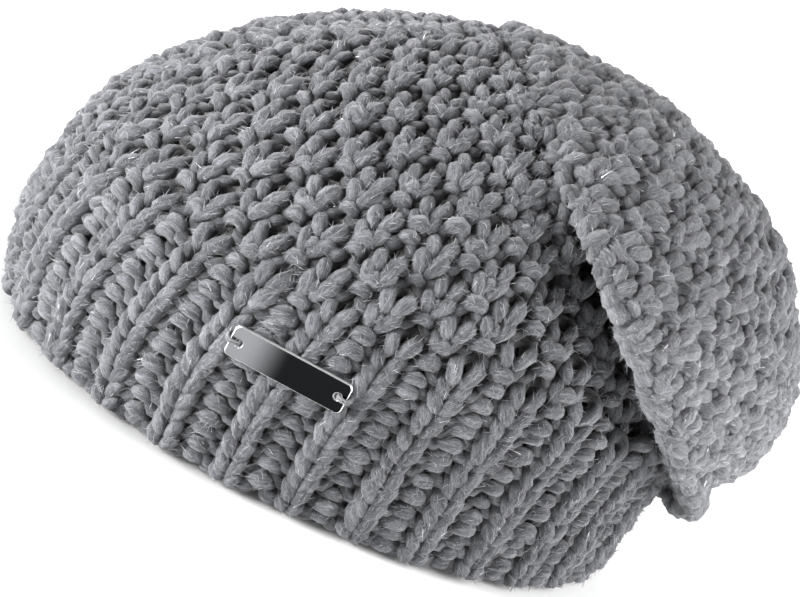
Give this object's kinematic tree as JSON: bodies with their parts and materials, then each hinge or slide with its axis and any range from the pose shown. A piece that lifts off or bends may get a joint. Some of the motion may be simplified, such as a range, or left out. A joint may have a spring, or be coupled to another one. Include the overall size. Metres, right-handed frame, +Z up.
{
  "type": "knit slouch hat",
  "caption": "Chunky knitted slouch hat with a ribbed brim, a moss-stitch crown folded back over itself and a small plain metal tag sewn to the brim.",
  "frame": {"origin": "on the surface that the hat rests on, under the middle of its bounding box", "axes": "+Z up from the brim to the crown, -Y to the front of the hat, +Y to the slouch at the back, +X to the wearer's left, where the tag is"},
  "size_m": [0.1874, 0.2474, 0.1407],
  "materials": {
    "yarn": "soft matt roving yarn in mid grey with a sparse fine silver filament",
    "tag_metal": "polished steel with a bright bevelled rim, bare of any text",
    "tag_thread": "thin pale grey sewing thread"
  },
  "bodies": {
    "root": {"ribbed_brim": "yarn", "crown": "yarn", "tag_plate": "tag_metal", "tag_thread_front": "tag_thread", "tag_thread_rear": "tag_thread"}
  },
  "joints": []
}
